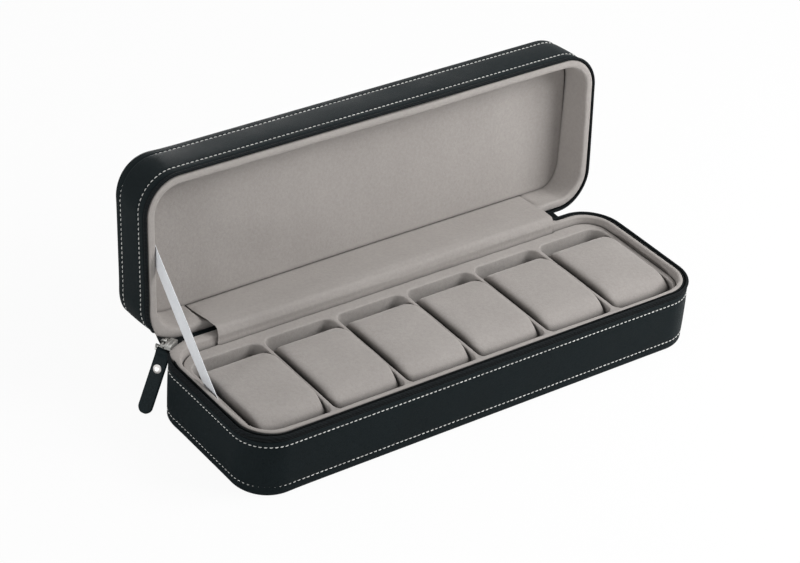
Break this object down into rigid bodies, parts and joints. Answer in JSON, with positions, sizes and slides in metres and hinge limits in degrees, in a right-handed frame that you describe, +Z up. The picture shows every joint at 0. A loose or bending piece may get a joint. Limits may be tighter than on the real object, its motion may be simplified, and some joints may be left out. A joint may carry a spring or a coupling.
{
  "type": "watch travel case",
  "caption": "Zipped leather travel case for watches with a hinged lid, velvet lining, a divider tray and lift-out pillows.",
  "frame": {"origin": "centre of the flat underside of the base", "axes": "+X along the case to the right, -Y to the front where the zip opens, +Z up"},
  "size_m": [0.3306, 0.1532, 0.1428],
  "materials": {
    "leather": "fine pebbled grain, soft sheen",
    "velvet": "short velvet pile",
    "board": "grey fibre board",
    "zip_tape": "woven black tape",
    "zip_coil": "black nylon coil",
    "thread": "off-white sewing thread",
    "foam": "white foam",
    "ribbon": "white satin ribbon",
    "slider_metal": "plated die-cast metal"
  },
  "bodies": {
    "base": {"base_bottom_cover": "leather", "base_side_cover": "leather", "base_floor_board": "board", "base_wall_board": "board", "base_lining_wall": "velvet", "base_floor_lining": "velvet", "base_zip_tape": "zip_tape", "base_zip_coil": "zip_coil", "base_edge_stitching": "thread", "base_rim_stitching": "thread", "tray_frame": "velvet", "tray_divider_1": "velvet", "tray_divider_2": "velvet", "tray_divider_3": "velvet", "tray_divider_4": "velvet", "tray_divider_5": "velvet", "hinge_spine": "leather", "hinge_flap": "velvet", "stay_ribbon": "ribbon", "zip_tail_left": "zip_tape", "zip_tail_right": "zip_tape"},
    "lid": {"lid_top_cover": "leather", "lid_side_cover": "leather", "lid_top_board": "board", "lid_wall_board": "board", "lid_lining_wall": "velvet", "lid_foam_pad": "foam", "lid_lining_panel": "velvet", "lid_zip_tape": "zip_tape", "lid_zip_coil": "zip_coil", "lid_edge_stitching": "thread", "lid_rim_stitching": "thread"},
    "slider": {"slider_body": "slider_metal", "slider_crown": "slider_metal"},
    "pull": {"pull_link": "slider_metal"},
    "tab": {"pull_tab": "leather", "pull_rivet": "slider_metal"},
    "pillow_1": {"pillow_cover_1": "velvet", "pillow_core_1": "foam"},
    "pillow_2": {"pillow_cover_2": "velvet", "pillow_core_2": "foam"},
    "pillow_3": {"pillow_cover_3": "velvet", "pillow_core_3": "foam"},
    "pillow_4": {"pillow_cover_4": "velvet", "pillow_core_4": "foam"},
    "pillow_5": {"pillow_cover_5": "velvet", "pillow_core_5": "foam"},
    "pillow_6": {"pillow_cover_6": "velvet", "pillow_core_6": "foam"}
  },
  "joints": [
    {"name": "lid_hinge", "type": "hinge", "parent": "base", "child": "lid", "pos_m": [0, 0.0544, 0.0366], "axis": [-1, 0, 0], "range_deg": [-94.5, 0], "deforming": ["hinge_spine", "hinge_flap", "stay_ribbon", "zip_tail_left", "zip_tail_right"]},
    {"name": "zip_slider", "type": "hinge", "parent": "base", "child": "slider", "pos_m": [-0.137, 0.029, 0.041], "axis": [0, 0, 1], "range_deg": [0, 60]},
    {"name": "pull_swing", "type": "hinge", "parent": "slider", "child": "pull", "pos_m": [-0.15238, 0.05563, 0.0415], "axis": [0.866, 0.5, 0], "range_deg": [0, 70]},
    {"name": "tab_swing", "type": "hinge", "parent": "pull", "child": "tab", "pos_m": [-0.15237, 0.05562, 0.03491], "axis": [-0.4973, 0.8613, 0.1045], "range_deg": [0, 40]},
    {"name": "pillow_lift_1", "type": "slide", "parent": "base", "child": "pillow_1", "axis": [0, 0, 1], "range_m": [0, 0.045]},
    {"name": "pillow_lift_2", "type": "slide", "parent": "base", "child": "pillow_2", "axis": [0, 0, 1], "range_m": [0, 0.045]},
    {"name": "pillow_lift_3", "type": "slide", "parent": "base", "child": "pillow_3", "axis": [0, 0, 1], "range_m": [0, 0.045]},
    {"name": "pillow_lift_4", "type": "slide", "parent": "base", "child": "pillow_4", "axis": [0, 0, 1], "range_m": [0, 0.045]},
    {"name": "pillow_lift_5", "type": "slide", "parent": "base", "child": "pillow_5", "axis": [0, 0, 1], "range_m": [0, 0.045]},
    {"name": "pillow_lift_6", "type": "slide", "parent": "base", "child": "pillow_6", "axis": [0, 0, 1], "range_m": [0, 0.045]}
  ]
}
